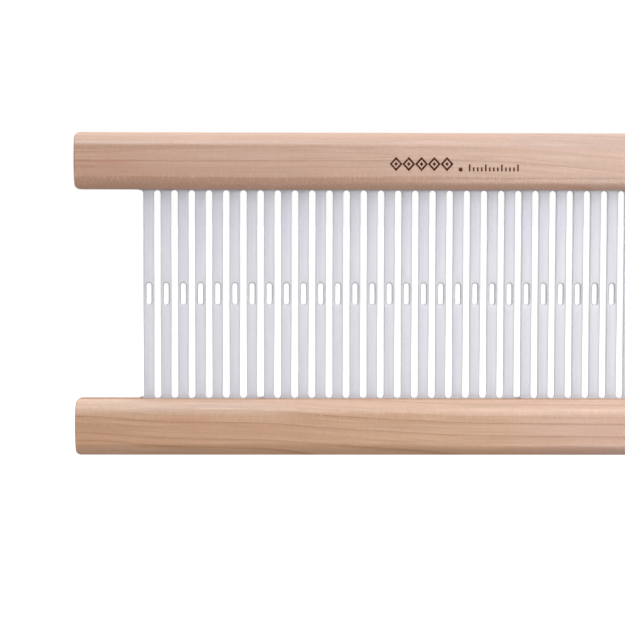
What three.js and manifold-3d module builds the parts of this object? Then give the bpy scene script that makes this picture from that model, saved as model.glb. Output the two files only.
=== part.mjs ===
// Rigid heddle reed for a rigid heddle loom, 25 cm weaving width, 30 ends per 10 cm.
// Units are millimetres. X runs along the rails, +Z is up, -Y is the front face.
// The reed stands on the outer edge of its bottom rail; the origin is under its middle.
//
// Five pieces: two beech rails, each with a groove along its inner edge, and three
// moulded plastic dent sections whose flanges are glued into the two grooves.

import * as THREE from 'three';
import { mergeVertices } from 'three/addons/utils/BufferGeometryUtils.js';
import Module from 'manifold-3d';

const wasm = await Module();
wasm.setup();

// ---------------------------------------------------------------- driving dimensions
const HEIGHT = 125;            // over both rails
const RAIL_LENGTH = 297;
const RAIL_HEIGHT = 22;
const RAIL_THICK = 12;

const BEVEL_HEIGHT = 4.5;      // crowned bevel on all four long corners of a rail
const BEVEL_DEPTH = 3.6;
const BEVEL_START = 20;        // degrees off the front face where the bevel starts
const BEVEL_END = 58;          // degrees off the front face where it meets the outer edge
const BEVEL_STEPS = 5;

const END_RADIUS = 2.0;        // rail end corners, seen from the front
const END_EASE = 1.8;          // rail end corners, seen from above
const END_BULGE = 0.3;         // the rail ends are slightly crowned

const GROOVE_WIDTH = 2.8;      // groove along each rail's inner edge
const GROOVE_DEPTH = 7;

const PITCH = 100 / 15;        // dent to dent: 15 eyes and 15 slots in 10 cm
const SECTION_DENTS = [7, 15, 15];
const SECTION_NAMES = ['dent_section_left', 'dent_section_middle', 'dent_section_right'];
const SECTION_SHIFT = 0.5;     // a section ends this far left of the middle of a slot
const SECTION_GAP = 0.1;       // butt joint between neighbouring sections
const SECTION_THICK = 2.4;
const FLANGE_IN_GROOVE = 6.5;  // depth of a flange inside its rail
const FLANGE_SHOWING = 0.25;   // height of a flange outside its rail

const SLOT_WIDTH = 2.55;       // between dents near the rails
const SLOT_WAIST = 2.40;       // between dents at the height of the eyes
const SLOT_END_STEPS = 4;      // facets of each round slot end, per quarter

const EYE_WIDTH = 1.9;
const EYE_HEIGHT = 8.15;
const EYE_RAISE = 0.2;         // the eyes sit this far above mid-height
const EYE_STEPS = 4;

const LIP_LOW = 0.35;          // raised lip on the lower left end of each section:
const LIP_HIGH = 0.55;         // its height at the joint, and beside the first dent

// ---------------------------------------------------------------- derived dimensions
const MID_Z = HEIGHT / 2;
const EYE_Z = MID_Z + EYE_RAISE;
const DENTS = SECTION_DENTS.reduce((a, b) => a + b, 0);
const SLOT_BOTTOM = RAIL_HEIGHT + FLANGE_SHOWING;
const SLOT_TOP = HEIGHT - RAIL_HEIGHT - FLANGE_SHOWING;
const FLANGE_BOTTOM = RAIL_HEIGHT - FLANGE_IN_GROOVE;
const FLANGE_TOP = HEIGHT - RAIL_HEIGHT + FLANGE_IN_GROOVE;
const dentX = (k) => (k - (DENTS - 1) / 2) * PITCH;

// ---------------------------------------------------------------- helpers
const rad = (deg) => (deg * Math.PI) / 180;

function shapeOf(points, holes = []) {
  const shape = new THREE.Shape(points.map(([x, y]) => new THREE.Vector2(x, y)));
  for (const hole of holes) {
    shape.holes.push(new THREE.Path(hole.map(([x, y]) => new THREE.Vector2(x, y))));
  }
  return shape;
}

// A flat outline extruded by `depth`, still standing along its own local z.
function prism(points, depth, holes = []) {
  return new THREE.ExtrudeGeometry(shapeOf(points, holes), {
    depth, steps: 1, bevelEnabled: false, curveSegments: 1,
  });
}

// Local (u, v, w) to object axes, always a plain permutation so no vertex is rounded.
const uvwToYZX = new THREE.Matrix4().set(0, 0, 1, 0, 1, 0, 0, 0, 0, 1, 0, 0, 0, 0, 0, 1);
const uvwToXZY = new THREE.Matrix4().set(1, 0, 0, 0, 0, 0, -1, 0, 0, 1, 0, 0, 0, 0, 0, 1);

function positionOnly(geometry) {
  const g = geometry.clone();
  g.deleteAttribute('normal');
  g.deleteAttribute('uv');
  return mergeVertices(g, 1e-5);
}

function toManifold(geometry) {
  const g = positionOnly(geometry);
  return new wasm.Manifold(new wasm.Mesh({
    numProp: 3,
    vertProperties: new Float32Array(g.attributes.position.array),
    triVerts: new Uint32Array(g.index.array),
  }));
}

function toGeometry(manifold) {
  const mesh = manifold.getMesh();
  const g = new THREE.BufferGeometry();
  g.setAttribute('position', new THREE.BufferAttribute(new Float32Array(mesh.vertProperties), 3));
  g.setIndex(new THREE.BufferAttribute(new Uint32Array(mesh.triVerts), 1));
  g.computeVertexNormals();
  return g;
}

// ---------------------------------------------------------------- rails
// One corner bevel as [depth in from the face, height from the flat], face to outer edge.
function bevelPoints() {
  const a0 = rad(BEVEL_START);
  const a1 = rad(BEVEL_END);
  const depth = (a) => Math.cos(a0) - Math.cos(a);
  const rise = (a) => Math.sin(a) - Math.sin(a0);
  const points = [];
  for (let i = 0; i <= BEVEL_STEPS; i++) {
    const a = a0 + ((a1 - a0) * i) / BEVEL_STEPS;
    points.push([(BEVEL_DEPTH * depth(a)) / depth(a1), (BEVEL_HEIGHT * rise(a)) / rise(a1)]);
  }
  return points;
}

// Cross-section of the bottom rail in (y, z), counter-clockwise, groove at the top.
function railSection() {
  const face = RAIL_THICK / 2;
  const low = BEVEL_HEIGHT;
  const high = RAIL_HEIGHT - BEVEL_HEIGHT;
  const bevel = bevelPoints();
  const points = [];
  for (const [d, h] of [...bevel].reverse()) points.push([face - d, low - h]);
  for (const [d, h] of bevel) points.push([face - d, high + h]);
  points.push([GROOVE_WIDTH / 2, RAIL_HEIGHT]);
  points.push([GROOVE_WIDTH / 2, RAIL_HEIGHT - GROOVE_DEPTH]);
  points.push([-GROOVE_WIDTH / 2, RAIL_HEIGHT - GROOVE_DEPTH]);
  points.push([-GROOVE_WIDTH / 2, RAIL_HEIGHT]);
  for (const [d, h] of [...bevel].reverse()) points.push([-face + d, high + h]);
  for (const [d, h] of bevel) points.push([-face + d, low - h]);
  return points;
}

// Outline with rounded corners and slightly crowned ends, counter-clockwise.
function railOutline(length, v0, v1, radius, bulge) {
  const points = [];
  const mid = (v0 + v1) / 2;
  const half = (v1 - v0) / 2;
  const crown = (v) => bulge * (1 - ((v - mid) / half) ** 2);
  const end = length / 2 - bulge;
  const corner = (sx, v, from) => {
    for (let i = 0; i <= 4; i++) {
      const a = rad(from + (90 * i) / 4);
      const y = v + radius * Math.sin(a);
      points.push([sx * (end - radius) + radius * Math.cos(a) + sx * crown(y), y]);
    }
  };
  const face = (sx) => {
    for (const t of sx > 0 ? [-0.4, 0, 0.4] : [0.4, 0, -0.4]) {
      const y = mid + t * (half - radius);
      points.push([sx * (end + crown(y)), y]);
    }
  };
  corner(1, v0 + radius, -90);
  face(1);
  corner(1, v1 - radius, 0);
  corner(-1, v1 - radius, 90);
  face(-1);
  corner(-1, v0 + radius, 180);
  return points;
}

function railGeometry() {
  const stick = prism(railSection(), RAIL_LENGTH + 2).applyMatrix4(uvwToYZX);
  stick.translate(-(RAIL_LENGTH + 2) / 2, 0, 0);
  const front = prism(railOutline(RAIL_LENGTH, 0, RAIL_HEIGHT, END_RADIUS, END_BULGE),
    RAIL_THICK + 4).applyMatrix4(uvwToXZY);
  front.translate(0, RAIL_THICK / 2 + 2, 0);
  const plan = prism(railOutline(RAIL_LENGTH, -RAIL_THICK / 2, RAIL_THICK / 2, END_EASE, 0.2),
    RAIL_HEIGHT + 4);
  plan.translate(0, 0, -2);
  return toGeometry(toManifold(stick).intersect(toManifold(front)).intersect(toManifold(plan)));
}

// ---------------------------------------------------------------- dent sections
// Half the slot width at height z: straight near the rails, narrowest at the eyes.
function slotHalf(z) {
  const t = Math.min(1, Math.abs(z - MID_Z) / (MID_Z - SLOT_BOTTOM - SLOT_WIDTH));
  const s = t * t * (3 - 2 * t);
  return (SLOT_WAIST + (SLOT_WIDTH - SLOT_WAIST) * s) / 2;
}

// Heights at which a dent's side is given a point, low to high.
const SIDE_HEIGHTS = [0.2, 0.5, 0.8]
  .map((t) => SLOT_BOTTOM + t * (SLOT_TOP - SLOT_BOTTOM));

// A quarter turn about (cx, cz) as points, first and last included.
function quarter(cx, cz, r, from, to, steps) {
  const points = [];
  for (let i = 0; i <= steps; i++) {
    const a = rad(from + ((to - from) * i) / steps);
    points.push([cx + r * Math.cos(a), cz + r * Math.sin(a)]);
  }
  return points;
}

// A slot between two dents, clockwise.
function slotHole(x) {
  const r = SLOT_WIDTH / 2;
  const points = [];
  points.push(...quarter(x, SLOT_BOTTOM + r, r, 0, -180, 2 * SLOT_END_STEPS));
  for (const z of SIDE_HEIGHTS) points.push([x - slotHalf(z), z]);
  points.push(...quarter(x, SLOT_TOP - r, r, 180, 0, 2 * SLOT_END_STEPS));
  for (const z of [...SIDE_HEIGHTS].reverse()) points.push([x + slotHalf(z), z]);
  return points;
}

// The eye through a dent, clockwise.
function eyeHole(x) {
  const r = EYE_WIDTH / 2;
  const straight = EYE_HEIGHT / 2 - r;
  return [
    ...quarter(x, EYE_Z - straight, r, 0, -180, 2 * EYE_STEPS),
    ...quarter(x, EYE_Z + straight, r, 180, 0, 2 * EYE_STEPS),
  ];
}

// Outer outline of a section from dent `first` to dent `last`, counter-clockwise.
function sectionOutline(first, last) {
  const r = SLOT_WIDTH / 2;
  const slotLeft = dentX(first) - PITCH / 2;   // middle of the slot on its left
  const slotRight = dentX(last) + PITCH / 2;
  const left = slotLeft - SECTION_SHIFT + SECTION_GAP / 2;
  const right = slotRight - SECTION_SHIFT - SECTION_GAP / 2;
  const points = [[left, FLANGE_BOTTOM], [right, FLANGE_BOTTOM]];

  // right side, going up: part of a round slot end, the last dent, the same again
  const startAngle = (Math.asin((SECTION_SHIFT + SECTION_GAP / 2) / r) * 180) / Math.PI;
  points.push(...quarter(slotRight, SLOT_BOTTOM + r, r, 270 - startAngle, 180, SLOT_END_STEPS));
  for (const z of SIDE_HEIGHTS) points.push([slotRight - slotHalf(z), z]);
  points.push(...quarter(slotRight, SLOT_TOP - r, r, 180, 90 + startAngle, SLOT_END_STEPS));
  points.push([right, FLANGE_TOP], [left, FLANGE_TOP]);

  // left side, going down: flat flange, round slot end, the first dent, the lip
  points.push([left, SLOT_TOP]);
  points.push(...quarter(slotLeft, SLOT_TOP - r, r, 90, 0, SLOT_END_STEPS));
  for (const z of [...SIDE_HEIGHTS].reverse()) points.push([slotLeft + slotHalf(z), z]);
  points.push([slotLeft + r, SLOT_BOTTOM + LIP_HIGH]);
  points.push([left, SLOT_BOTTOM + LIP_LOW]);
  return points;
}

function sectionGeometry(first, last) {
  const holes = [];
  for (let k = first; k <= last; k++) {
    holes.push(eyeHole(dentX(k)));
    if (k < last) holes.push(slotHole(dentX(k) + PITCH / 2));
  }
  const g = prism(sectionOutline(first, last), SECTION_THICK, holes).applyMatrix4(uvwToXZY);
  g.translate(0, SECTION_THICK / 2, 0);
  return g;
}

// ---------------------------------------------------------------- assembly
const beech = (color) => new THREE.MeshStandardMaterial({ color, roughness: 0.55, metalness: 0 });
const plastic = (color) => new THREE.MeshStandardMaterial({ color, roughness: 0.35, metalness: 0 });

const reed = new THREE.Group();

const bottomRail = new THREE.Mesh(railGeometry(), beech(0xd3ab8c));
bottomRail.name = 'bottom_rail';
reed.add(bottomRail);

// The top rail is the same stick turned half round about its long axis.
const topGeometry = railGeometry();
topGeometry.applyMatrix4(new THREE.Matrix4().makeScale(1, -1, -1));
topGeometry.translate(0, 0, HEIGHT);
const topRail = new THREE.Mesh(topGeometry, beech(0xd8b197));
topRail.name = 'top_rail';
reed.add(topRail);

let first = 0;
for (let s = 0; s < SECTION_DENTS.length; s++) {
  const last = first + SECTION_DENTS[s] - 1;
  const section = new THREE.Mesh(sectionGeometry(first, last), plastic(0xd9d8e0));
  section.name = SECTION_NAMES[s];
  reed.add(section);
  first = last + 1;
}

export default reed;
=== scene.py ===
"""Rigid heddle reed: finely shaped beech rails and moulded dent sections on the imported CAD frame.

Metres in the scene, millimetres in the shape functions. +Z is up and the front faces -Y.
"""
import math

import bpy
import numpy as np
from mathutils import Matrix, Vector
from mathutils.geometry import delaunay_2d_cdt


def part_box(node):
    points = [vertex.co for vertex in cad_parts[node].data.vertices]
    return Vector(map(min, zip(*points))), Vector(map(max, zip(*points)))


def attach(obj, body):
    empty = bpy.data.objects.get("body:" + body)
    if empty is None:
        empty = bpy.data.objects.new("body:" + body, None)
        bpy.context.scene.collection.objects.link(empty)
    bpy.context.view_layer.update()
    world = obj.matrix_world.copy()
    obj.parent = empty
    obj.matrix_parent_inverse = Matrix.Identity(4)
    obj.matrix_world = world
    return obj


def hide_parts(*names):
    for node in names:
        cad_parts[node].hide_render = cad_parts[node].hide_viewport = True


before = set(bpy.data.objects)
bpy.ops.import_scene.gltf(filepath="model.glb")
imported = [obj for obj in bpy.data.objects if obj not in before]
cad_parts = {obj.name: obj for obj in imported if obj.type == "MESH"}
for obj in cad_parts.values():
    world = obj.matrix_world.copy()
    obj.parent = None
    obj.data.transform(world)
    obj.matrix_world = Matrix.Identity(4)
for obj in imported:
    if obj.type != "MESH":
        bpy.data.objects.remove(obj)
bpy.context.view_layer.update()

MM = 0.001

# ------------------------------------------------------------------ sizes, all from the frame
rail_lo, rail_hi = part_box("bottom_rail")
top_lo, top_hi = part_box("top_rail")
RAIL_X = rail_hi.x / MM                         # half length
RAIL_T = (rail_hi.y - rail_lo.y) / MM
RAIL_H = (rail_hi.z - rail_lo.z) / MM
TOTAL_H = top_hi.z / MM
SECTIONS = ["dent_section_left", "dent_section_middle", "dent_section_right"]
SECTION_DENTS = [7, 15, 15]
sec_boxes = [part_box(n) for n in SECTIONS]
SEC_T = (sec_boxes[0][1].y - sec_boxes[0][0].y) / MM
FLANGE_LOW = sec_boxes[0][0].z / MM
FLANGE_HIGH = sec_boxes[0][1].z / MM

PITCH = 100 / 15
DENTS = sum(SECTION_DENTS)
SLOT_W, SLOT_WAIST = 2.55, 2.40
SHOWING = 0.25
SLOT_LOW = RAIL_H + SHOWING
SLOT_HIGH = TOTAL_H - RAIL_H - SHOWING
MID_Z = TOTAL_H / 2
EYE_Z = MID_Z + 0.2
EYE_W, EYE_H = 1.90, 8.15
LIP_LOW, LIP_HIGH = 0.35, 0.55
GROOVE_W, GROOVE_D = 2.8, 7.0


def dent_x(k):
    return (k - (DENTS - 1) / 2) * PITCH


# ------------------------------------------------------------------ mesh helpers
def new_object(name, verts, faces, smooth=True):
    mesh = bpy.data.meshes.new(name)
    mesh.from_pydata([(x * MM, y * MM, z * MM) for x, y, z in verts], [], faces)
    mesh.validate()
    mesh.update()
    obj = bpy.data.objects.new(name, mesh)
    bpy.context.scene.collection.objects.link(obj)
    if smooth:
        mesh.polygons.foreach_set("use_smooth", [True] * len(mesh.polygons))
    return obj


def inside(points, loop):
    """Even-odd test of many points against one loop, both as arrays."""
    x, y = points[:, 0], points[:, 1]
    hit = np.zeros(len(points), bool)
    a, b = loop, np.roll(loop, -1, axis=0)
    for (x0, y0), (x1, y1) in zip(a, b):
        if y0 == y1:
            continue
        crosses = (y0 > y) != (y1 > y)
        hit ^= crosses & (x < (x1 - x0) * (y - y0) / (y1 - y0) + x0)
    return hit


def loop_distance(points, loop):
    """Distance of many points to one closed loop."""
    best = np.full(len(points), 1e9)
    for p, q in zip(loop, np.roll(loop, -1, axis=0)):
        d = q - p
        n = float(d @ d)
        if n == 0:
            continue
        t = np.clip(((points - p) @ d) / n, 0, 1)
        best = np.minimum(best, np.linalg.norm(points - p - t[:, None] * d, axis=1))
    return best


def offset(loop, amount):
    """Moves a loop to its left by amount, corners mitred. Left is into the material."""
    prev, nxt = np.roll(loop, 1, axis=0), np.roll(loop, -1, axis=0)
    d0, d1 = loop - prev, nxt - loop
    d0 /= np.linalg.norm(d0, axis=1)[:, None]
    d1 /= np.linalg.norm(d1, axis=1)[:, None]
    n0 = np.stack([-d0[:, 1], d0[:, 0]], 1)
    n1 = np.stack([-d1[:, 1], d1[:, 0]], 1)
    n = n0 + n1
    n /= np.maximum((n * n1).sum(1), 0.35)[:, None]
    return loop + n * amount


def fill(rings, extra):
    """Triangles between closed rings, with extra points inside. Returns points, triangles."""
    pts, edges = [], []
    for ring in rings:
        base = len(pts)
        pts += [Vector(p) for p in ring]
        edges += [(base + i, base + (i + 1) % len(ring)) for i in range(len(ring))]
    count = len(pts)
    pts += [Vector(p) for p in extra]
    out, _, faces, orig, _, _ = delaunay_2d_cdt(pts, edges, [], 0, 1e-6)
    back = [o[0] if o else None for o in orig]
    faces = [tuple(back[i] for i in f) for f in faces]
    faces = [f for f in faces if None not in f]
    arr = np.array([tuple(p) for p in pts])
    tri = np.array(faces)
    mid = arr[tri].mean(axis=1)
    keep = inside(mid, np.array(rings[0]))
    for ring in rings[1:]:
        ring = np.array(ring)
        near = ((mid >= ring.min(0)) & (mid <= ring.max(0))).all(1)
        idx = np.where(near)[0]
        if len(idx):
            keep[idx] &= ~inside(mid[idx], ring)
    tri = tri[keep]
    a, b, c = arr[tri[:, 0]], arr[tri[:, 1]], arr[tri[:, 2]]
    area = (b[:, 0] - a[:, 0]) * (c[:, 1] - a[:, 1]) - (b[:, 1] - a[:, 1]) * (c[:, 0] - a[:, 0])
    tri[area < 0] = tri[area < 0][:, ::-1]
    tri = tri[np.abs(area) > 1e-9]
    return arr, tri, count


# ------------------------------------------------------------------ dent sections
def slot_half(z):
    t = min(1.0, abs(z - MID_Z) / (MID_Z - SLOT_LOW - SLOT_W))
    s = t * t * (3 - 2 * t)
    return (SLOT_WAIST + (SLOT_W - SLOT_WAIST) * s) / 2


def arc(cx, cz, r, a0, a1, steps):
    return [(cx + r * math.cos(math.radians(a0 + (a1 - a0) * i / steps)),
             cz + r * math.sin(math.radians(a0 + (a1 - a0) * i / steps))) for i in range(steps + 1)]


ROWS = [SLOT_LOW + SLOT_W / 2 + t * (SLOT_HIGH - SLOT_LOW - SLOT_W) for t in np.linspace(0, 1, 35)][1:-1]


def slot_loop(x):
    r = SLOT_W / 2
    pts = arc(x, SLOT_LOW + r, r, 0, -180, 18)
    pts += [(x - slot_half(z), z) for z in ROWS]
    pts += arc(x, SLOT_HIGH - r, r, 180, 0, 18)
    pts += [(x + slot_half(z), z) for z in ROWS[::-1]]
    return np.array(pts)


def eye_loop(x):
    r = EYE_W / 2
    s = EYE_H / 2 - r
    sides = [EYE_Z + s * t for t in (-0.6, -0.2, 0.2, 0.6)]
    pts = arc(x, EYE_Z - s, r, 0, -180, 16)
    pts += [(x - r, z) for z in sides]
    pts += arc(x, EYE_Z + s, r, 180, 0, 16)
    pts += [(x + r, z) for z in sides[::-1]]
    return np.array(pts)


def section_loop(first, last, left, right):
    r = SLOT_W / 2
    sl, sr = dent_x(first) - PITCH / 2, dent_x(last) + PITCH / 2
    start = math.degrees(math.asin(min(0.95, (sr - right) / r)))
    pts = [(left, FLANGE_LOW + 0.3), (left + 0.3, FLANGE_LOW)]
    n = max(4, int((right - left) / 3))
    pts += [(left + (right - left) * i / n, FLANGE_LOW) for i in range(1, n)]
    pts += [(right - 0.3, FLANGE_LOW), (right, FLANGE_LOW + 0.3), (right, SLOT_LOW - 1.5)]
    pts += arc(sr, SLOT_LOW + r, r, 270 - start, 180, 10)
    pts += [(sr - slot_half(z), z) for z in ROWS]
    pts += arc(sr, SLOT_HIGH - r, r, 180, 90 + start, 10)
    pts += [(right, SLOT_HIGH + 1.5), (right, FLANGE_HIGH - 0.3), (right - 0.3, FLANGE_HIGH)]
    pts += [(right - (right - left) * i / n, FLANGE_HIGH) for i in range(1, n)]
    pts += [(left + 0.3, FLANGE_HIGH), (left, FLANGE_HIGH - 0.3), (left, SLOT_HIGH + 1.5)]
    pts += [(left, SLOT_HIGH)] + arc(sl, SLOT_HIGH - r, r, 90, 0, 10)
    pts += [(sl + slot_half(z), z) for z in ROWS[::-1]]
    pts += [(sl + r, SLOT_LOW + LIP_HIGH + 0.25), (sl + r - 0.1, SLOT_LOW + LIP_HIGH + 0.02)]
    pts += [(left + 0.2, SLOT_LOW + LIP_LOW + 0.02), (left, SLOT_LOW + LIP_LOW - 0.15), (left, SLOT_LOW - 1.5)]
    return np.array(pts)


EDGE_R = 0.42           # rounding of the dents' long edges
EYE_R = 0.52            # rounding of the eyes' rims
CROWN = 0.09            # the dents' faces are slightly crowned
STEPS = [0.0, 18.0, 36.0, 54.0, 72.0, 90.0]


def build_section(name, first, last, box):
    left, right = box[0].x / MM, box[1].x / MM
    half_t = SEC_T / 2 - CROWN * 0.5
    loops = [(section_loop(first, last, left, right), EDGE_R)]
    eyes = []
    for k in range(first, last + 1):
        loops.append((eye_loop(dent_x(k)), EYE_R))
        eyes.append(len(loops) - 1)
        if k < last:
            loops.append((slot_loop(dent_x(k) + PITCH / 2), EDGE_R))

    # rows of points that carry the crown of each dent
    extra = []
    for k in range(first, last + 1):
        for z in np.linspace(SLOT_LOW + 1.2, SLOT_HIGH - 1.2, 62):
            for u in (-0.72, -0.36, 0.0, 0.36, 0.72):
                extra.append((dent_x(k) + u * 1.66, z))
    extra = np.array(extra)
    tops = [offset(l, r) for l, r in loops]
    gap = np.full(len(extra), 1e9)
    for ring in tops:
        near = (np.abs(extra[:, 0] - ring[:, 0].mean()) < np.ptp(ring[:, 0]) / 2 + 4)
        idx = np.where(near)[0]
        gap[idx] = np.minimum(gap[idx], loop_distance(extra[idx], ring))
    extra = extra[gap > 0.22]
    gap = gap[gap > 0.22]
    pts, tri, border = fill([t.tolist() for t in tops], extra.tolist())

    def crown(i):
        if i < border:
            return 0.0
        g = min(1.0, gap[i - border] / 1.66)
        return CROWN * (1 - (1 - g) ** 2)

    verts, faces = [], []
    for side in (-1, 1):
        base = len(verts)
        for i, (x, z) in enumerate(pts):
            verts.append((x, side * (half_t + crown(i)), z))
        for a, b, c in tri:
            # seen from -Y, counter-clockwise in (x, z) faces -Y
            faces.append((base + a, base + b, base + c) if side < 0 else (base + a, base + c, base + b))
    n_pts = len(pts)

    start = 0
    for (loop, r), top in zip(loops, tops):
        n = len(loop)
        rings = [[start + i for i in range(n)]]
        for deg in STEPS[::-1][1:]:
            a = math.radians(deg)
            ring = offset(loop, r * (1 - math.cos(a)))
            y = -(half_t - r * (1 - math.sin(a)))
            base = len(verts)
            verts += [(x, y, z) for x, z in ring]
            rings.append([base + i for i in range(n)])
        for deg in STEPS[:-1]:
            a = math.radians(deg)
            ring = offset(loop, r * (1 - math.cos(a)))
            y = half_t - r * (1 - math.sin(a))
            base = len(verts)
            verts += [(x, y, z) for x, z in ring]
            rings.append([base + i for i in range(n)])
        rings.append([n_pts + start + i for i in range(n)])
        for a, b in zip(rings, rings[1:]):
            for i in range(n):
                j = (i + 1) % n
                faces.append((a[j], a[i], b[i], b[j]))
        start += n
    obj = new_object(name, verts, faces)
    return obj


# ------------------------------------------------------------------ rails
BEVEL_H, BEVEL_D = 4.5, 3.6


def bevel_curve():
    a0, a1 = math.radians(20), math.radians(58)
    out = []
    for i in range(25):
        a = a0 + (a1 - a0) * i / 24
        out.append((BEVEL_D * (math.cos(a0) - math.cos(a)) / (math.cos(a0) - math.cos(a1)),
                    BEVEL_H * (math.sin(a) - math.sin(a0)) / (math.sin(a1) - math.sin(a0))))
    return out


def rail_section(soft_crease):
    """Cross-section (y, z) of the bottom rail, counter-clockwise. soft_crease eases the upper front crease."""
    f, lo, hi = RAIL_T / 2, BEVEL_H, RAIL_H - BEVEL_H
    b = bevel_curve()
    pts = [(f - d, lo - h) for d, h in b[::-1]] + [(f - d, hi + h) for d, h in b]
    g = GROOVE_W / 2
    pts += [(g, RAIL_H), (g, RAIL_H - GROOVE_D), (-g, RAIL_H - GROOVE_D), (-g, RAIL_H)]
    pts += [(-f + d, hi + h) for d, h in b[::-1]] + [(-f + d, lo - h) for d, h in b]
    pts = np.array(pts)
    # resample finely, soften the corners a little, then keep only the points that matter
    nxt = np.roll(pts, -1, axis=0)
    dense = []
    for p, q in zip(pts, nxt):
        n = max(1, int(np.linalg.norm(q - p) / 0.05))
        dense += [p + (q - p) * i / n for i in range(n)]
    dense = np.array(dense)

    def smooth(sigma, reach):
        k = np.arange(-reach, reach + 1)
        w = np.exp(-0.5 * (k * 0.05 / sigma) ** 2)
        w /= w.sum()
        return sum(wi * np.roll(dense, -ki, axis=0) for wi, ki in zip(w, k))

    soft = smooth(0.16, 16)
    if soft_crease:
        near = np.clip(1.9 - np.hypot(dense[:, 0] + f, dense[:, 1] - hi) / 2.6, 0, 1)[:, None]
        near = near * near * (3 - 2 * near)
        soft = soft * (1 - near) + smooth(1.45, 90) * near
    keep = [0]
    for i in range(1, len(soft)):
        p, q = soft[keep[-1]], soft[i]
        d = q - p
        n = np.linalg.norm(d)
        seg = soft[keep[-1]:i + 1] - p
        dev = np.abs(seg[:, 0] * d[1] - seg[:, 1] * d[0]).max() / max(n, 1e-9)
        if dev > 0.004 or n > 1.6:
            keep.append(i - 1)
    return soft[keep]


END_R, END_BULGE, END_EASE = 2.0, 0.3, 0.5


def soft_clamp(z, lo, hi, w):
    """z held between lo and hi, with a rounded change of about w."""
    def softplus(t):
        return t if t > 30 else math.log1p(math.exp(t))
    z = hi - w * softplus((hi - z) / w)
    return lo + w * softplus((z - lo) / w)


def build_rail(name, top, seed):
    section = rail_section(not top)
    rng = np.random.default_rng(seed)
    # distances from the end face at which the rail gets a ring
    steps = [0, .03, .08, .15, .24, .35, .5]
    steps += [END_R * (1 - math.cos(math.radians(a))) for a in range(40, 91, 5)]
    steps = sorted(s for s in set(round(s, 4) for s in steps))
    steps += [3.2, 5.0, 8.0]
    inner = np.linspace(-RAIL_X + 12, RAIL_X - 12, 90)
    # faint unevenness of a hand-sanded stick
    wave = [(rng.uniform(18, 60), rng.uniform(0, 6.28), rng.uniform(0.010, 0.025)) for _ in range(5)]

    def uneven(x):
        return sum(a * math.sin(x / w * 6.283 + p) for w, p, a in wave)

    rings, verts = [], []

    def ring(sign, s):
        base = len(verts)
        if s < END_R:
            inset = END_R - math.sqrt(max(0.0, END_R ** 2 - (END_R - s) ** 2))
        else:
            inset = 0.0
        ease = END_EASE - math.sqrt(max(0.0, END_EASE ** 2 - (END_EASE - s) ** 2)) if s < END_EASE else 0.0
        fade = max(0.0, 1 - s / 10)
        for y, z in section:
            zz = soft_clamp(z, inset, RAIL_H - inset, 0.05) if inset > 0.002 else z
            if abs(y) < GROOVE_W / 2 + 0.12 and z > RAIL_H - GROOVE_D - 0.3:
                yy = y + math.copysign(ease * 0.5, y) if abs(y) > 0.6 else y
            else:
                yy = y * (1 - ease / (RAIL_T / 2))
            crown = END_BULGE * ((zz - RAIL_H / 2) / (RAIL_H / 2)) ** 2 + 0.12 * (y / (RAIL_T / 2)) ** 2
            x = RAIL_X - s - crown * fade
            verts.append((sign * x, yy, zz))
        rings.append(range(base, base + len(section)))

    for s in steps:
        ring(-1, s)
    for x in inner:
        base = len(verts)
        for y, z in section:
            n = math.hypot(y, (z - RAIL_H / 2) * 0.5) or 1
            verts.append((x, y * (1 + uneven(x) / 6), z))
        rings.append(range(base, base + len(section)))
    for s in steps[::-1]:
        ring(1, s)

    faces = []
    n = len(section)
    for a, b in zip(rings, rings[1:]):
        for i in range(n):
            j = (i + 1) % n
            faces.append((a[i], a[j], b[j], b[i]))
    # crowned end faces
    for r, sign in ((rings[0], -1), (rings[-1], 1)):
        outline = [(verts[i][1], verts[i][2]) for i in r]
        grid = np.array([(y, z) for y in np.linspace(-5, 5, 9) for z in np.linspace(1, RAIL_H - 1, 18)])
        grid = grid[inside(grid, np.array(outline))]
        grid = grid[loop_distance(grid, np.array(outline)) > 0.35]
        pts, tri, border = fill([outline], grid.tolist())
        base = len(verts)
        for y, z in pts[border:]:
            crown = END_BULGE * ((z - RAIL_H / 2) / (RAIL_H / 2)) ** 2 + 0.12 * (y / (RAIL_T / 2)) ** 2
            verts.append((sign * (RAIL_X - crown), y, z))
        ids = list(r) + list(range(base, base + len(pts) - border))
        for a, b, c in tri:
            faces.append((ids[a], ids[b], ids[c]) if sign > 0 else (ids[a], ids[c], ids[b]))
    # the sections are counter-clockwise in (y, z), so quads between rings going +X face outwards
    if top:
        verts = [(x, -y, TOTAL_H - z) for x, y, z in verts]
    obj = new_object(name, verts, faces)
    obj.data.set_sharp_from_angle(angle=math.radians(35))
    return obj


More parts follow.
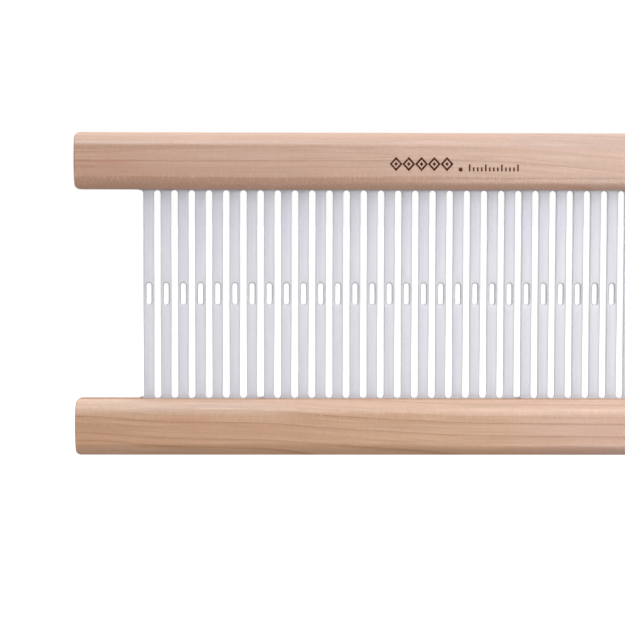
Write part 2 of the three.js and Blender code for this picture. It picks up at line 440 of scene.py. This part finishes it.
# ------------------------------------------------------------------ node helpers
class Tree:
    """Short words for building a node tree."""

    def __init__(self, tree):
        self.t = tree
        self.t.nodes.clear()

    def put(self, socket, value):
        if value is None:
            return
        if hasattr(value, "is_output"):
            self.t.links.new(value, socket)
        else:
            socket.default_value = value

    def node(self, kind, **props):
        n = self.t.nodes.new(kind)
        for k, v in props.items():
            setattr(n, k, v)
        return n

    def math(self, op, a, b=None, c=None, clamp=False):
        n = self.node("ShaderNodeMath", operation=op, use_clamp=clamp)
        for i, v in enumerate((a, b, c)):
            self.put(n.inputs[i], v)
        return n.outputs[0]

    def mix(self, fac, a, b, mode="MIX"):
        n = self.node("ShaderNodeMix", data_type="RGBA", blend_type=mode)
        self.put(n.inputs[0], fac)
        self.put(n.inputs[6], a)
        self.put(n.inputs[7], b)
        return n.outputs[2]

    def combine(self, x, y, z):
        n = self.node("ShaderNodeCombineXYZ")
        for i, v in enumerate((x, y, z)):
            self.put(n.inputs[i], v)
        return n.outputs[0]

    def noise(self, vec, scale, detail=2.0, rough=0.5, distortion=0.0):
        n = self.node("ShaderNodeTexNoise")
        self.put(n.inputs["Vector"], vec)
        n.inputs["Scale"].default_value = scale
        n.inputs["Detail"].default_value = detail
        n.inputs["Roughness"].default_value = rough
        n.inputs["Distortion"].default_value = distortion
        return n.outputs[0]

    def ramp(self, fac, stops, interpolation="LINEAR"):
        n = self.node("ShaderNodeValToRGB")
        r = n.color_ramp
        r.interpolation = interpolation
        while len(r.elements) < len(stops):
            r.elements.new(0.5)
        for e, (p, v) in zip(r.elements, stops):
            e.position = p
            e.color = (v, v, v, 1) if not isinstance(v, tuple) else (*v, 1)
        self.put(n.inputs[0], fac)
        return n.outputs[0]

    def curve(self, value, points):
        n = self.node("ShaderNodeFloatCurve")
        c = n.mapping.curves[0]
        while len(c.points) < len(points):
            c.points.new(0.5, 0.5)
        for p, (x, y) in zip(c.points, points):
            p.location = (x, y)
            p.handle_type = "AUTO"
        n.mapping.update()
        self.put(n.inputs["Value"], value)
        return n.outputs[0]

    def span(self, value, lo, hi, a=0.0, b=1.0, smooth=False):
        n = self.node("ShaderNodeMapRange", clamp=True)
        n.interpolation_type = "SMOOTHSTEP" if smooth else "LINEAR"
        self.put(n.inputs["Value"], value)
        for k, v in (("From Min", lo), ("From Max", hi), ("To Min", a), ("To Max", b)):
            n.inputs[k].default_value = v
        return n.outputs["Result"]


def material(name):
    m = bpy.data.materials.new(name)
    m.use_nodes = True
    t = Tree(m.node_tree)
    out = t.node("ShaderNodeOutputMaterial")
    bsdf = t.node("ShaderNodeBsdfPrincipled")
    t.t.links.new(bsdf.outputs[0], out.inputs[0])
    return m, t, bsdf


# ------------------------------------------------------------------ beech
def beech(name, base, line_tint, drift, lines, late, bands, painted_bevel_light, accents, z_of, tilt, fleck_z, flecks, seed, mark=False):
    """Silver beech. drift is the grain's wander along the rail, lines are (height, darkness, width above, width below).
    The late lines begin only some way in from the left end, where the wood is also painted whiter and bluer towards the
    right as a painted sheen.
    The painted bevel light entries are (x from, x to, height from, height to, colour): painted highlights and shade on
    the creases and bevels, in given stretches along the rail.

    The pattern is solid: one coordinate runs across the growth layers, through face, edges and ends alike.
    """
    m, t, bsdf = material(name)
    coord = t.node("ShaderNodeTexCoord").outputs["Object"]
    sep = t.node("ShaderNodeSeparateXYZ")
    t.put(sep.inputs[0], coord)
    x = t.math("MULTIPLY", sep.outputs[0], 1000.0)
    y = t.math("MULTIPLY", sep.outputs[1], 1000.0)
    z = t.math("MULTIPLY", sep.outputs[2], 1000.0)

    # growth coordinate in mm above the rail's lower edge
    x01 = t.span(x, -150, 150)
    wander = t.math("MULTIPLY", t.curve(x01, drift), 20.0)
    slow = t.noise(t.combine(t.math("MULTIPLY", x, 0.012), t.math("MULTIPLY", y, 0.02), t.math("ADD", t.math("MULTIPLY", z, 0.05), seed)), 1.0, 2.0, 0.5)
    slow = t.math("MULTIPLY", t.math("SUBTRACT", slow, 0.5), 1.3)
    depth = t.math("MULTIPLY", t.math("ADD", y, RAIL_T / 2), tilt)
    local = t.math("SUBTRACT", z, z_of)
    s = t.math("ADD", t.math("ADD", local, wander), t.math("ADD", depth, slow))
    s01 = t.span(s, -12, 44)

    # growth-layer lines: dark line with a sharp upper and a soft lower side
    def layers(rows):
        stops = [(0.0, 0.0)]
        for h, dark, up, down in sorted(rows):
            p = lambda v: (v + 12) / 56
            stops += [(p(h - down), 0.0), (p(h - 0.28 * down), 0.30 * dark), (p(h), dark), (p(h + up), 0.0)]
        return t.ramp(s01, stops[:32])

    layer = layers(lines)
    if late:
        layer = t.math("MAXIMUM", layer, t.math("MULTIPLY", layers(late), t.span(x, -128, -60)))
    band = t.ramp(s01, [((v + 12) / 56, a) for v, a in bands])

    # long fibres, fine and medium
    def streak(fx, fyz, detail=3.0, off=0.0):
        v = t.combine(t.math("MULTIPLY", x, fx), t.math("MULTIPLY", t.math("ADD", y, off), fyz), t.math("MULTIPLY", t.math("ADD", s, off + seed), fyz))
        return t.noise(v, 1.0, detail, 0.55)

    fine = streak(0.045, 2.3)
    medium = streak(0.020, 1.15, 2.0, 7.0)
    broad = streak(0.009, 0.22, 2.0, 19.0)
    speck = t.noise(t.combine(t.math("MULTIPLY", x, 0.55), t.math("MULTIPLY", y, 2.0), t.math("MULTIPLY", s, 1.9)), 1.0, 2.0, 0.6)
    patch = t.noise(t.combine(t.math("MULTIPLY", x, 0.03), t.math("MULTIPLY", y, 0.12), t.math("MULTIPLY", z, 0.12)), 1.0, 2.0)

    dark = tuple(b * k for b, k in zip(base, line_tint))
    def tone(r, g, bl):
        return (min(1, base[0] * r), min(1, base[1] * g), min(1, base[2] * bl), 1)

    col = t.mix(t.span(medium, 0.41, 0.60, 0.0, 1.0), tone(1.07, 1.07, 1.07), tone(0.91, 0.87, 0.83))
    col = t.mix(t.span(fine, 0.44, 0.62, 0.0, 0.95), col, tone(0.86, 0.79, 0.74))
    col = t.mix(t.span(broad, 0.44, 0.58, 0.0, 0.55), col, tone(1.07, 1.10, 1.15))
    col = t.mix(t.span(patch, 0.48, 0.60, 0.0, 0.38), col, tone(1.03, 0.90, 0.87))
    col = t.mix(t.span(speck, 0.36, 0.64, 0.0, 1.0), col, t.mix(1.0, col, (0.93, 0.915, 0.905, 1), "MULTIPLY"))
    # painted sheen: with late lines (the bottom rail), the wood turns whiter and bluer towards the right end
    if late:
        col = t.mix(t.span(x, -10.0, 60.0, 0.0, 1.0, True), col, t.mix(1.0, col, (0.985, 1.01, 1.12, 1), "MULTIPLY"))
    # painted highlights and shade: stretches of the creases and bevels made lighter and whiter, a few darker
    for x0, x1, z0, z1, shade in painted_bevel_light:
        where = t.math("MULTIPLY", t.span(x, x0, x1), t.span(local, z0, z1))
        col = t.mix(where, col, t.mix(1.0, col, (*shade, 1), "MULTIPLY"))
    col = t.mix(band, col, tone(0.86, 0.76, 0.72))
    broken = t.span(streak(0.06, 0.6, 2.0, 31.0), 0.3, 0.62, 0.60, 1.0)
    col = t.mix(t.math("MULTIPLY", layer, broken), col, (*dark, 1))

    for ax, az, half_x, half_z, strength in accents:
        ex = t.math("DIVIDE", t.math("SUBTRACT", x, ax), half_x)
        ez = t.math("DIVIDE", t.math("SUBTRACT", t.math("ADD", local, t.math("MULTIPLY", slow, 0.5)), az), half_z)
        far = t.math("ADD", t.math("MULTIPLY", ex, ex), t.math("MULTIPLY", ez, ez))
        col = t.mix(t.math("MULTIPLY", t.span(far, 0.15, 1.0, strength, 0.0, True), broken), col, tone(0.80, 0.56, 0.44))

    # medullary ray flecks: short upright dashes, paler and darker, seen best on the bevels
    zone = t.math("ADD", t.span(local, fleck_z - 3.0, fleck_z - 1.0, 0.25, 1.0), t.span(local, fleck_z + 1.5, fleck_z + 4.0, 0.0, -0.75))
    fl = t.noise(t.combine(t.math("MULTIPLY", x, 1.25), t.math("MULTIPLY", y, 1.3), t.math("MULTIPLY", z, 0.36)), 1.0, 2.0, 0.6)
    col = t.mix(t.math("MULTIPLY", t.span(fl, 0.53, 0.66, 0.0, flecks), zone), col, tone(1.07, 1.11, 1.16))
    col = t.mix(t.math("MULTIPLY", t.span(fl, 0.34, 0.47, flecks, 0.0), zone), col, tone(0.83, 0.77, 0.71))
    pores = t.noise(t.combine(t.math("MULTIPLY", x, 0.30), t.math("MULTIPLY", y, 4.5), t.math("MULTIPLY", z, 4.5)), 1.0, 1.0)
    col = t.mix(t.span(pores, 0.62, 0.74, 0.0, 0.35), col, tone(0.72, 0.62, 0.54))

    # end grain is darker and shows the layers, not the fibres
    nrm = t.node("ShaderNodeSeparateXYZ")
    tc2 = t.node("ShaderNodeTexCoord")
    t.put(nrm.inputs[0], tc2.outputs["Normal"])
    end = t.span(t.math("ABSOLUTE", nrm.outputs[0]), 0.6, 0.95)
    dots = t.noise(t.combine(t.math("MULTIPLY", x, 0.2), t.math("MULTIPLY", y, 4.0), t.math("MULTIPLY", z, 4.0)), 1.0, 2.0)
    endcol = t.mix(t.span(dots, 0.35, 0.65, 0.15, 0.75), (*tuple(b * 0.86 for b in base), 1), (*tuple(b * k for b, k in zip(base, (0.66, 0.58, 0.50))), 1))
    col = t.mix(t.math("MULTIPLY", end, 0.75), col, endcol)

    # painted shade: a narrow dark line with less gloss, on the bottom rail along the top of its lip beside the groove,
    # where the dents shade it, and on the top rail round its rounded ends
    if mark:
        shade_line_and_burn = t.math("MULTIPLY", t.span(t.math("ABSOLUTE", x), RAIL_X - 0.75, RAIL_X - 0.25), 0.55)
    else:
        shade_line_and_burn = t.math("MULTIPLY", t.span(local, RAIL_H - 0.42, RAIL_H - 0.10), 0.80)
    col = t.mix(shade_line_and_burn, col, tone(0.70, 0.60, 0.62))

    rough = t.span(medium, 0.3, 0.7, 0.28, 0.35)
    bump_h = t.math("ADD", t.math("MULTIPLY", fine, 0.6), t.math("MULTIPLY", pores, -0.5))

    if mark:
        # a burned band: five linked lozenges, a dot and a row of spacing ticks
        front = t.math("LESS_THAN", y, -RAIL_T / 2 + 0.6)
        u = t.math("DIVIDE", t.math("SUBTRACT", x, MARK_X0), MARK_CELL)
        p = t.math("MULTIPLY", t.math("ABSOLUTE", t.math("SUBTRACT", t.math("FRACT", u), 0.5)), 2.0)
        q = t.math("DIVIDE", t.math("ABSOLUTE", t.math("SUBTRACT", z, MARK_Z)), MARK_H)
        d = t.math("ADD", p, q)
        rim = t.span(t.math("ABSOLUTE", t.math("SUBTRACT", d, 0.82)), 0.17, 0.25, 1.0, 0.0)
        core = t.span(d, 0.26, 0.36, 1.0, 0.0)
        loz = t.math("MAXIMUM", rim, core)
        in_band = t.math("MULTIPLY", t.math("GREATER_THAN", u, 0.0), t.math("LESS_THAN", u, MARK_CELLS))
        loz = t.math("MULTIPLY", loz, in_band)
        dx = t.math("SUBTRACT", x, MARK_DOT_X)
        dz = t.math("SUBTRACT", z, MARK_TICK_Z0 + 0.75)
        rad = t.math("SQRT", t.math("ADD", t.math("MULTIPLY", dx, dx), t.math("MULTIPLY", dz, dz)))
        dot = t.span(rad, 0.70, 0.92, 1.0, 0.0)
        v = t.math("DIVIDE", t.math("SUBTRACT", x, MARK_TICK_X0), MARK_TICK_STEP)
        tick = t.span(t.math("ABSOLUTE", t.math("SUBTRACT", t.math("FRACT", v), 0.5)), 0.16, 0.24, 1.0, 0.0)
        fourth = t.math("LESS_THAN", t.math("FRACT", t.math("DIVIDE", v, 4.0)), 0.25)
        height = t.math("ADD", MARK_TICK_Z0 + 1.6, t.math("MULTIPLY", fourth, 1.1))
        span_z = t.math("MULTIPLY", t.span(z, MARK_TICK_Z0 - 0.05, MARK_TICK_Z0 + 0.1), t.math("LESS_THAN", z, height))
        span_x = t.math("MULTIPLY", t.math("GREATER_THAN", v, 0.0), t.math("LESS_THAN", v, MARK_TICKS))
        tick = t.math("MULTIPLY", tick, t.math("MULTIPLY", span_z, span_x))
        burn = t.math("MAXIMUM", t.math("MAXIMUM", loz, dot), tick)
        burn = t.math("MULTIPLY", burn, front)
        uneven = t.noise(t.combine(t.math("MULTIPLY", x, 1.4), 0.0, t.math("MULTIPLY", z, 1.4)), 1.0, 3.0)
        burn = t.math("MULTIPLY", burn, t.span(uneven, 0.30, 0.55, 0.80, 1.0))
        col = t.mix(burn, col, (0.072, 0.014, 0.005, 1))
        rough = t.math("ADD", rough, t.math("MULTIPLY", burn, 0.35))
        # the burned mark loses its gloss as the painted shade line does
        shade_line_and_burn = t.math("MAXIMUM", shade_line_and_burn, burn)
        bump_h = t.math("SUBTRACT", bump_h, t.math("MULTIPLY", burn, 1.6))

    t.put(bsdf.inputs["Base Color"], col)
    t.put(bsdf.inputs["Roughness"], rough)
    bsdf.inputs["IOR"].default_value = 1.5
    bsdf.inputs["Specular IOR Level"].default_value = 0.94
    t.put(bsdf.inputs["Specular IOR Level"], t.math("MULTIPLY_ADD", shade_line_and_burn, -0.94, 0.94))
    bump = t.node("ShaderNodeBump")
    bump.inputs["Strength"].default_value = 0.22
    bump.inputs["Distance"].default_value = 0.00006
    t.put(bump.inputs["Height"], bump_h)
    t.put(bsdf.inputs["Normal"], bump.outputs[0])
    return m


MARK_X0, MARK_CELL, MARK_CELLS = -27.0, 4.9, 5.0
MARK_Z, MARK_H = 112.9, 2.7
MARK_DOT_X = 0.3
MARK_TICK_X0, MARK_TICK_STEP, MARK_TICKS = 3.0, 1.55, 13.0
MARK_TICK_Z0 = 110.1


# ------------------------------------------------------------------ plastic
def dent_plastic():
    """Milky moulded plastic with a lavender-grey cast and a soft gloss."""
    m, t, bsdf = material("dent_plastic_fine")
    coord = t.node("ShaderNodeTexCoord").outputs["Object"]
    sep = t.node("ShaderNodeSeparateXYZ")
    t.put(sep.inputs[0], coord)
    x = t.math("MULTIPLY", sep.outputs[0], 1000.0)
    y = t.math("MULTIPLY", sep.outputs[1], 1000.0)
    z = t.math("MULTIPLY", sep.outputs[2], 1000.0)
    flow = t.noise(t.combine(t.math("MULTIPLY", x, 0.9), t.math("MULTIPLY", y, 0.3), t.math("MULTIPLY", z, 0.035)), 1.0, 3.0, 0.5, 0.3)
    cloud = t.noise(t.combine(t.math("MULTIPLY", x, 0.09), y, t.math("MULTIPLY", z, 0.03)), 1.0, 2.0)
    col = t.mix(t.span(flow, 0.35, 0.66), (0.920, 0.908, 0.998, 1), (0.880, 0.870, 0.948, 1))
    col = t.mix(t.span(cloud, 0.40, 0.65, 0.0, 0.45), col, (0.924, 0.912, 0.988, 1))
    # painted shade: the plastic is darkened towards both rails, deepest just under the top rail, where the rails'
    # shadow and occlusion fall
    z01 = t.span(z, RAIL_H, TOTAL_H - RAIL_H)
    rail_shade_curve = t.curve(z01, [(0.0, 0.75), (0.012, 0.80), (0.03, 0.91), (0.055, 0.95), (0.11, 0.985), (0.23, 1.0), (0.40, 1.0), (0.64, 0.985),
                         (0.78, 0.940), (0.88, 0.890), (0.926, 0.855), (0.965, 0.765), (0.985, 0.720), (1.0, 0.70)])
    col = t.mix(1.0, col, t.combine(rail_shade_curve, rail_shade_curve, rail_shade_curve), "MULTIPLY")
    # painted shade: a neutral, darker line where the faces turn into the edges, stronger on the right side
    side = t.math("MULTIPLY", t.math("SUBTRACT", t.math("FRACT", t.math("ADD", t.math("DIVIDE", x, PITCH), 0.5)), 0.5), PITCH)
    u = t.math("ABSOLUTE", side)
    col = t.mix(t.span(side, 1.20, 1.80, 0.0, 0.46, True), col, (0.56, 0.56, 0.56, 1))
    col = t.mix(t.span(side, -1.80, -1.35, 0.30, 0.0, True), col, (0.60, 0.60, 0.60, 1))
    # and painted shade round each eye: a darker ring on the rounded rim
    ez = t.math("MAXIMUM", t.math("SUBTRACT", t.math("ABSOLUTE", t.math("SUBTRACT", z, EYE_Z)), (EYE_H - EYE_W) / 2), 0.0)
    d = t.math("SUBTRACT", t.math("SQRT", t.math("ADD", t.math("MULTIPLY", u, u), t.math("MULTIPLY", ez, ez))), EYE_W / 2)
    near = t.span(d, 0.36, 0.74, 1.0, 0.0, True)
    col = t.mix(t.math("MULTIPLY", near, 0.60), col, (0.56, 0.555, 0.56, 1))
    bore = t.span(d, 0.02, 0.22, 1.0, 0.0)
    t.put(bsdf.inputs["Specular IOR Level"], t.math("MULTIPLY_ADD", bore, -0.46, 0.5))
    t.put(bsdf.inputs["Base Color"], col)
    skin = t.noise(t.combine(t.math("MULTIPLY", x, 2.5), t.math("MULTIPLY", y, 2.5), t.math("MULTIPLY", z, 0.8)), 1.0, 2.0)
    t.put(bsdf.inputs["Roughness"], t.math("MULTIPLY_ADD", bore, 0.4, t.span(skin, 0.3, 0.7, 0.25, 0.36)))
    bsdf.inputs["IOR"].default_value = 1.49
    bsdf.inputs["Subsurface Weight"].default_value = 0.35
    bsdf.inputs["Subsurface Radius"].default_value = (1.0, 0.95, 1.0)
    bsdf.inputs["Subsurface Scale"].default_value = 0.0009
    bump = t.node("ShaderNodeBump")
    bump.inputs["Strength"].default_value = 0.12
    bump.inputs["Distance"].default_value = 0.00004
    t.put(bump.inputs["Height"], skin)
    t.put(bsdf.inputs["Normal"], bump.outputs[0])
    return m


# ------------------------------------------------------------------ camera
CAM_X, CAM_Z, CAM_D = -65.02, 94.06, 700.0
CAM_F = 1801.7                                   # focal length in pixels of a 625 px wide picture
cam_data = bpy.data.cameras.new("camera")
cam_data.sensor_width = 36.0
cam_data.lens = 36.0 * CAM_F / 625.0
cam_data.clip_start, cam_data.clip_end = 0.01, 40.0
cam = bpy.data.objects.new("camera", cam_data)
bpy.context.scene.collection.objects.link(cam)
bpy.context.scene.camera = cam
cam.rotation_mode = "QUATERNION"
rx, ry, rz = -0.0552, -0.0122, -0.0020
pitch = Matrix(((1, 0, 0), (0, math.cos(rx), -math.sin(rx)), (0, math.sin(rx), math.cos(rx))))
yaw = Matrix(((math.cos(ry), -math.sin(ry), 0), (math.sin(ry), math.cos(ry), 0), (0, 0, 1)))
roll = Matrix(((math.cos(rz), 0, math.sin(rz)), (0, 1, 0), (-math.sin(rz), 0, math.cos(rz))))
axes = yaw @ pitch @ roll                        # columns: right, forward, up
cam_rot = Matrix((axes.col[0], axes.col[2], -axes.col[1])).transposed()
cam.rotation_quaternion = cam_rot.to_quaternion()
cam.location = (CAM_X * MM, -CAM_D * MM, CAM_Z * MM)

# ------------------------------------------------------------------ pieces
PLASTIC = dent_plastic()
first = 0
for name, count, box in zip(SECTIONS, SECTION_DENTS, sec_boxes):
    piece = build_section("fine_" + name, first, first + count - 1, box)
    piece.data.set_sharp_from_angle(angle=math.radians(50))
    piece.data.materials.append(PLASTIC)
    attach(piece, "root")
    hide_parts(name)
    first += count

# how far the growth layers sink below the left end's level, in mm / 20, along x from -150 to 150 mm
LOW_DRIFT = [(0.0, 0.0), (0.03, 0.01), (0.11, 0.10), (0.17, 0.125), (0.26, 0.155), (0.325, 0.23), (0.38, 0.28),
             (0.45, 0.33), (0.49, 0.363), (0.575, 0.386), (0.66, 0.405), (0.80, 0.43), (1.0, 0.50)]
LOW_LINES = [(6.3, 0.95, 0.22, 1.1), (9.35, 0.90, 0.20, 0.9), (15.7, 1.0, 0.22, 1.3),
             (25.0, 0.30, 0.3, 1.2), (28.6, 0.55, 0.25, 0.9), (-2.0, 0.6, 0.3, 1.4)]
LOW_LATE = [(20.6, 1.0, 0.22, 1.1), (22.9, 0.40, 0.25, 0.7)]
# painted highlights and shade on the creases and bevels: x from, x to, height from, height to, colour
LOW_PAINTED_LIGHT = [(-35.0, -75.0, 15.5, 18.5, (0.99, 1.09, 1.26)), (5.0, 50.0, 15.5, 18.5, (1.10, 1.17, 1.26)),
             (-60.0, -110.0, 5.5, 3.5, (1.0, 1.04, 1.13)), (20.0, 50.0, 15.5, 14.0, (1.0, 1.03, 1.12)), (0.0, 40.0, 5.5, 3.5, (0.94, 0.94, 0.98))]
TOP_PAINTED_LIGHT = [(-5.0, 40.0, 15.5, 18.5, (0.97, 1.07, 1.22)), (-60.0, -120.0, 15.5, 18.5, (1.04, 1.09, 1.12)), (-90.0, -140.0, 17.5, 15.5, (0.975, 0.945, 0.90)),
             (0.0, 40.0, 5.5, 3.5, (1.02, 1.16, 1.28))]
TOP_DRIFT = [(0.0, 0.60), (0.35, 0.60), (0.49, 0.60), (0.56, 0.625), (0.60, 0.67), (0.64, 0.715), (0.68, 0.77),
             (0.76, 0.85), (0.88, 0.95), (1.0, 1.0)]
TOP_LINES = [(12.0 + 4.9, 0.55, 0.2, 0.7), (12.0 + 8.7, 0.42, 0.2, 0.6), (12.0 + 11.3, 0.95, 0.22, 0.7),
             (12.0 + 16.4, 0.42, 0.3, 1.2), (12.0 + 21.2, 0.15, 0.3, 1.1), (12.0 + 25.0, 0.5, 0.3, 1.2), (5.0, 0.5, 0.3, 1.1)]
LOW_BANDS = [(-8.0, 0.0), (-3.0, 0.35), (1.0, 0.05), (5.0, 0.30), (9.0, 0.35), (11.0, 0.05), (16.0, 0.0), (23.0, 0.0), (27.0, 0.25), (30.0, 0.0)]
TOP_BANDS = [(0.0, 0.0), (6.0, 0.3), (13.0, 0.30), (16.0, 0.62), (20.5, 0.48), (23.0, 0.08), (27.0, 0.0), (34.0, 0.30)]

# short reddish flames: x, height above the rail's edge, half length, half height, strength
LOW_ACCENTS = [(-118.0, 14.0, 30.0, 0.40, 0.35), (-30.0, 11.2, 34.0, 0.35, 0.35), (38.0, 12.5, 46.0, 0.30, 0.25), (-60.0, 5.0, 40.0, 0.40, 0.35)]
TOP_ACCENTS = [(-138.0, 10.8, 17.0, 0.55, 0.95), (-144.0, 8.7, 6.0, 0.60, 0.60), (-134.0, 9.7, 8.0, 0.45, 0.45), (-121.0, 4.7, 20.0, 0.35, 0.55),
               (-90.0, 10.9, 40.0, 0.30, 0.35), (-20.0, 4.2, 30.0, 0.30, 0.25)]

low = build_rail("fine_bottom_rail", False, 11)
low.data.materials.append(beech("beech_lower_fine", (0.770, 0.462, 0.278), (0.63, 0.43, 0.28), LOW_DRIFT, LOW_LINES, LOW_LATE, LOW_BANDS, LOW_PAINTED_LIGHT, LOW_ACCENTS, 0.0, 0.55, 15.5, 0.34, 3.0))
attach(low, "root")
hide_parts("bottom_rail")

top = build_rail("fine_top_rail", True, 23)
top.data.materials.append(beech("beech_upper_fine", (0.692, 0.430, 0.304), (0.66, 0.45, 0.33), TOP_DRIFT, TOP_LINES, [], TOP_BANDS, TOP_PAINTED_LIGHT, TOP_ACCENTS, TOTAL_H - RAIL_H, 0.45, 2.6, 0.62, 41.0, mark=True))
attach(top, "root")
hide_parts("top_rail")

# ------------------------------------------------------------------ floor, lights, background
floor_mesh = bpy.data.meshes.new("floor")
floor_mesh.from_pydata([(-12, -12, -0.00002), (12, -12, -0.00002), (12, 12, -0.00002), (-12, 12, -0.00002)], [], [(0, 1, 2, 3)])
floor = bpy.data.objects.new("floor", floor_mesh)
bpy.context.scene.collection.objects.link(floor)
fm, ft, fb = material("floor_white")
fb.inputs["Base Color"].default_value = (0.30, 0.30, 0.30, 1)
fb.inputs["Roughness"].default_value = 1.0
fb.inputs["Specular IOR Level"].default_value = 0.0
fb.inputs["Emission Color"].default_value = (1, 1, 1, 1)
fb.inputs["Emission Strength"].default_value = 0.985
floor_mesh.materials.append(fm)
floor.visible_diffuse = False
floor.visible_glossy = False
floor.visible_transmission = False
floor.visible_shadow = False

world = bpy.data.worlds.new("studio")
bpy.context.scene.world = world
world.use_nodes = True
w = Tree(world.node_tree)
wout = w.node("ShaderNodeOutputWorld")
seen = w.node("ShaderNodeBackground")
seen.inputs[0].default_value = (1, 1, 1, 1)
seen.inputs[1].default_value = 1.0
lit = w.node("ShaderNodeBackground")
wsep = w.node("ShaderNodeSeparateXYZ")
w.put(wsep.inputs[0], w.node("ShaderNodeTexCoord").outputs["Generated"])
room = w.ramp(w.math("MULTIPLY_ADD", wsep.outputs[2], 0.5, 0.5), [(0.0, 0.36), (0.44, 0.33), (0.56, 0.12), (1.0, 0.10)])
behind = w.math("MULTIPLY", w.span(wsep.outputs[1], 0.02, 0.22), w.span(wsep.outputs[2], -0.42, -0.16))
w.put(lit.inputs[0], w.mix(behind, room, (0.95, 0.95, 0.95, 1)))
lit.inputs[1].default_value = 1.0
mixw = w.node("ShaderNodeMixShader")
w.put(mixw.inputs[0], w.node("ShaderNodeLightPath").outputs["Is Camera Ray"])
w.t.links.new(lit.outputs[0], mixw.inputs[1])
w.t.links.new(seen.outputs[0], mixw.inputs[2])
w.t.links.new(mixw.outputs[0], wout.inputs[0])


def softbox(name, where, at, size, power, color=(1, 1, 1)):
    data = bpy.data.lights.new(name, "AREA")
    data.shape = "RECTANGLE"
    data.size, data.size_y = size
    data.energy = power
    data.color = color
    obj = bpy.data.objects.new(name, data)
    bpy.context.scene.collection.objects.link(obj)
    obj.location = where
    obj.rotation_mode = "QUATERNION"
    obj.rotation_quaternion = (Vector(at) - Vector(where)).to_track_quat("-Z", "Y")
    obj.visible_camera = False
    return obj




def pair(name, where, at, size, soft, shine):
    """One softbox, with its shading and its reflection set apart."""
    softbox(name, where, at, size, soft).visible_glossy = False
    softbox(name + "_seen", where, at, size, shine).visible_diffuse = False


pair("overhead", (0.02, -0.08, 0.92), (0.02, -0.06, 0.06), (0.90, 1.02), 5.05, 21.2)
pair("front_high", (-0.07, -0.86, 0.74), (0.0, 0.0, 0.06), (0.97, 0.62), 3.1, 12.5)
softbox("front_fill", (0.30, -1.0, 0.25), (0.05, 0.0, 0.06), (0.90, 0.95), 4.52).visible_glossy = False
softbox("front_sheen", (0.43, -1.0, 0.365), (0.05, 0.0, 0.06), (0.80, 0.76), 6.4).visible_diffuse = False
softbox("table_sheen", (0.27, -0.21, -0.17), (0.22, -0.02, 0.11), (0.50, 0.22), 1.15).visible_diffuse = False
softbox("low_sheen", (0.44, -1.0, -0.12), (0.05, 0.0, 0.02), (0.48, 0.20), 0.16).visible_diffuse = False

view = bpy.context.scene.view_settings
view.view_transform = "Standard"
view.look = "None"
view.exposure = 0.0
view.gamma = 1.0

bpy.context.view_layer.update()
